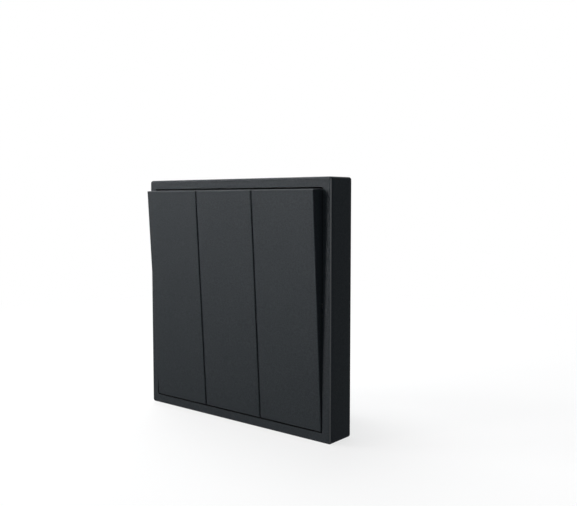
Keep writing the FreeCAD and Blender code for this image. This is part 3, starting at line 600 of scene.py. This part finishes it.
class DressPlungers(Step):
    """Give the plungers their natural nylon"""
    bl_idname = "rocker_switch.dress_plungers"
    bl_label = "Plungers"

    def execute(self, context):
        dress([f"plunger_{side}" for side in SIDES],
              moulded("nylon", self.finish.plunger_colour, roughness=0.36, grain=0.0003,
                      relief=0.00001, spread=0.04))
        return {"FINISHED"}


class MakeSprings(Step):
    """Make the plunger springs, wound from round wire"""
    bl_idname = "rocker_switch.make_springs"
    bl_label = "Plunger springs"

    def execute(self, context):
        steel = rolled("spring_wire", self.finish.spring_colour, roughness=0.3)
        for side in SIDES:
            slide = JOINTS[f"plunger_{side}_slide"]
            back = -np.array(slide["axis"])
            low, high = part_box(f"plunger_{side}")
            turning_y = JOINTS[f"rocker_{side}_rock"]["pos_m"][1]
            pivot = np.array([(low[0] + high[0]) / 2, turning_y, 0.0])
            start = pivot + self.small.coil_start * back
            points, faces = spring_surface(self.small, start, back)
            spring = mesh_piece(f"coil_{side}", points, outward(points, faces))
            spring.data.materials.append(steel)
            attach(spring, f"rocker_{side}")
            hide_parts(f"plunger_spring_{side}")
            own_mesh(spring)
        return {"FINISHED"}


class DressContacts(Step):
    """Give levers, strips and brackets their rolled copper, and the contacts their silver"""
    bl_idname = "rocker_switch.dress_contacts"
    bl_label = "Levers, strips, brackets and contacts"

    def execute(self, context):
        dress([f"{kind}_{side}" for side in SIDES
               for kind in ("contact_lever", "upper_strip", "lower_strip", "common_bracket")],
              rolled("rolled_copper", self.finish.copper_colour, roughness=0.28))
        dress([f"{kind}_{side}" for side in SIDES
               for kind in ("lever_contacts", "fixed_contacts")],
              silver("silver_alloy", self.finish.silver_colour))
        return {"FINISHED"}


class DressTerminals(Step):
    """Give the nine clamping springs of the terminals their spring steel"""
    bl_idname = "rocker_switch.dress_terminals"
    bl_label = "Terminals"

    def execute(self, context):
        dress([f"{way}_terminal_{side}" for side in SIDES
               for way in ("first_way", "second_way", "common")],
              rolled("clamp_steel", self.finish.spring_colour, roughness=0.3, along="YZ"))
        return {"FINISHED"}


class MakeStudio(Step):
    """Set up the floor, the white background, the lamps and the camera"""
    bl_idname = "rocker_switch.make_studio"
    bl_label = "Studio"

    LAMPS = (
        # name, place, what it is aimed at, side length, watts, spread in degrees, tint
        ("key", (-0.45, -0.75, 0.28), (0, 0, 0.205), 0.4, 0.97, 23, (1.06, 0.96, 0.91)),
        ("near", (-0.32, -0.22, 0.26), (0, 0, 0), 0.15, 1.03, 180, WHITE),
        ("edge", (0.55, -0.75, 0.1), (0, 0, 0), 0.25, 0.8, 180, WHITE),
        ("top", (-0.45, 0.16, 0.85), (0, 0, 0), 0.7, 10.5, 180, WHITE),
        ("back", (-0.7, 0.75, 0.45), (0, 0, 0), 0.9, 4.5, 180, WHITE),
    )
    MATT_LAMPS = ("key",)  # a narrow beam, which would glare off the frame's top edge

    def execute(self, context):
        self.make_floor()
        self.make_background()
        for lamp in self.LAMPS:
            self.make_lamp(*lamp)
        self.make_camera()
        bpy.context.scene.view_settings.view_transform = "Standard"
        return {"FINISHED"}

    def make_floor(self):
        """A flat round floor. Away from the switch it goes over into plain white."""
        studio = self.studio
        angle = np.linspace(0, 2 * math.pi, FLOOR_SIDES, endpoint=False)
        rim = studio.floor_radius * np.stack([np.cos(angle), np.sin(angle)], axis=-1)
        points = np.column_stack([rim, np.full(len(rim), studio.floor_height)])
        floor = mesh_piece("floor", points, [list(range(len(points)))], smooth=False)
        floor.visible_diffuse = False  # so that the paper throws no light up at the switch
        recipe = Recipe(bpy.data.materials.new("paper"))
        away = recipe.node("ShaderNodeVectorMath", {"operation": "LENGTH"},
                           {0: recipe.place()}, "Value")
        near = recipe.ramp(away, studio.shadow_start, studio.shadow_reach, studio.shadow_share,
                           0.0, "SMOOTHSTEP")
        fibre = recipe.noise(size=0.004, detail=3.0)
        paper = recipe.node("ShaderNodeBsdfDiffuse", None,
                            {"Color": recipe.shades(fibre, studio.floor_colour, 0.004)})
        white = recipe.node("ShaderNodeEmission", None,
                            {"Color": (*WHITE, 1), "Strength": 1.0})
        mixed = recipe.node("ShaderNodeMixShader", None,
                            {"Fac": self.seen(recipe) * (1 - near), 1: paper, 2: white})
        recipe.node("ShaderNodeOutputMaterial", None, {"Surface": mixed})
        floor.data.materials.append(recipe.owner)

    def seen(self, recipe):
        """1 for camera, glossy and transmission rays, and 0 for others."""
        camera, through, glossy = (recipe.node("ShaderNodeLightPath", output=f"Is {kind} Ray")
                                   for kind in ("Camera", "Transmission", "Glossy"))
        return camera.larger(through).larger(glossy)

    def make_background(self):
        """A white background, and an even dim light from all round."""
        studio = self.studio
        world = bpy.data.worlds.new("studio")
        bpy.context.scene.world = world
        recipe = Recipe(world)
        dim, white = (recipe.node("ShaderNodeBackground", None,
                                  {"Color": (*tint, 1), "Strength": level})
                      for tint, level in ((studio.ambient_colour, studio.ambient),
                                          (WHITE, 1.0)))
        mixed = recipe.node("ShaderNodeMixShader", None,
                            {"Fac": self.seen(recipe), 1: dim, 2: white})
        recipe.node("ShaderNodeOutputWorld", None, {"Surface": mixed})

    def make_lamp(self, name, place, target, side, watts, spread, tint):
        """A square area lamp that faces its target, with its beam spread over an angle."""
        light = bpy.data.lights.new(name, "AREA")
        light.shape = "SQUARE"
        light.size = side
        light.energy = watts
        light.color = tint
        light.spread = math.radians(spread)
        lamp = bpy.data.objects.new(name, light)
        lamp.location = place
        lamp.rotation_mode = "QUATERNION"
        beam = Vector(target) - Vector(place)
        lamp.rotation_quaternion = beam.to_track_quat("-Z", "Y")
        lamp.visible_camera = False
        lamp.visible_glossy = name not in self.MATT_LAMPS
        bpy.context.scene.collection.objects.link(lamp)

    def make_camera(self):
        """The camera, level from side to side."""
        studio = self.studio
        data = bpy.data.cameras.new("camera")
        data.sensor_width = 36
        data.lens = studio.camera_lens
        data.clip_start = 0.01
        data.clip_end = 100
        camera = bpy.data.objects.new("camera", data)
        camera.location = studio.camera_place
        camera.rotation_mode = "QUATERNION"
        direction = Vector(studio.camera_direction)
        camera.rotation_quaternion = direction.to_track_quat("-Z", "Y")
        bpy.context.scene.collection.objects.link(camera)
        bpy.context.scene.camera = camera


# ---- the add-on


STEPS = (DressFront, DressCarrier, DressPlate, DressHousing, MakeScrews, DressPlungers,
         MakeSprings, DressContacts, DressTerminals, MakeStudio)
SETTINGS = (("switch_finish", FinishSettings), ("switch_small_parts", SmallPartSettings),
            ("switch_studio", StudioSettings))


class RockerSwitchPanel(bpy.types.Panel):
    """The steps that dress the switch, in order"""
    bl_idname = "VIEW3D_PT_rocker_switch"
    bl_label = "Rocker switch"
    bl_space_type = "VIEW_3D"
    bl_region_type = "UI"
    bl_category = "Rocker switch"

    def draw(self, context):
        for step in STEPS:
            self.layout.operator(step.bl_idname)


def register():
    for name, group in SETTINGS:
        bpy.utils.register_class(group)
        setattr(bpy.types.Scene, name, PointerProperty(type=group))
    for step in (*STEPS, RockerSwitchPanel):
        bpy.utils.register_class(step)


def unregister():
    for step in (RockerSwitchPanel, *reversed(STEPS)):
        bpy.utils.unregister_class(step)
    for name, group in reversed(SETTINGS):
        delattr(bpy.types.Scene, name)
        bpy.utils.unregister_class(group)


def main():
    """Register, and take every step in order."""
    register()
    for step in STEPS:
        family, action = step.bl_idname.split(".")
        getattr(getattr(bpy.ops, family), action)()


if __name__ == "__main__":
    main()
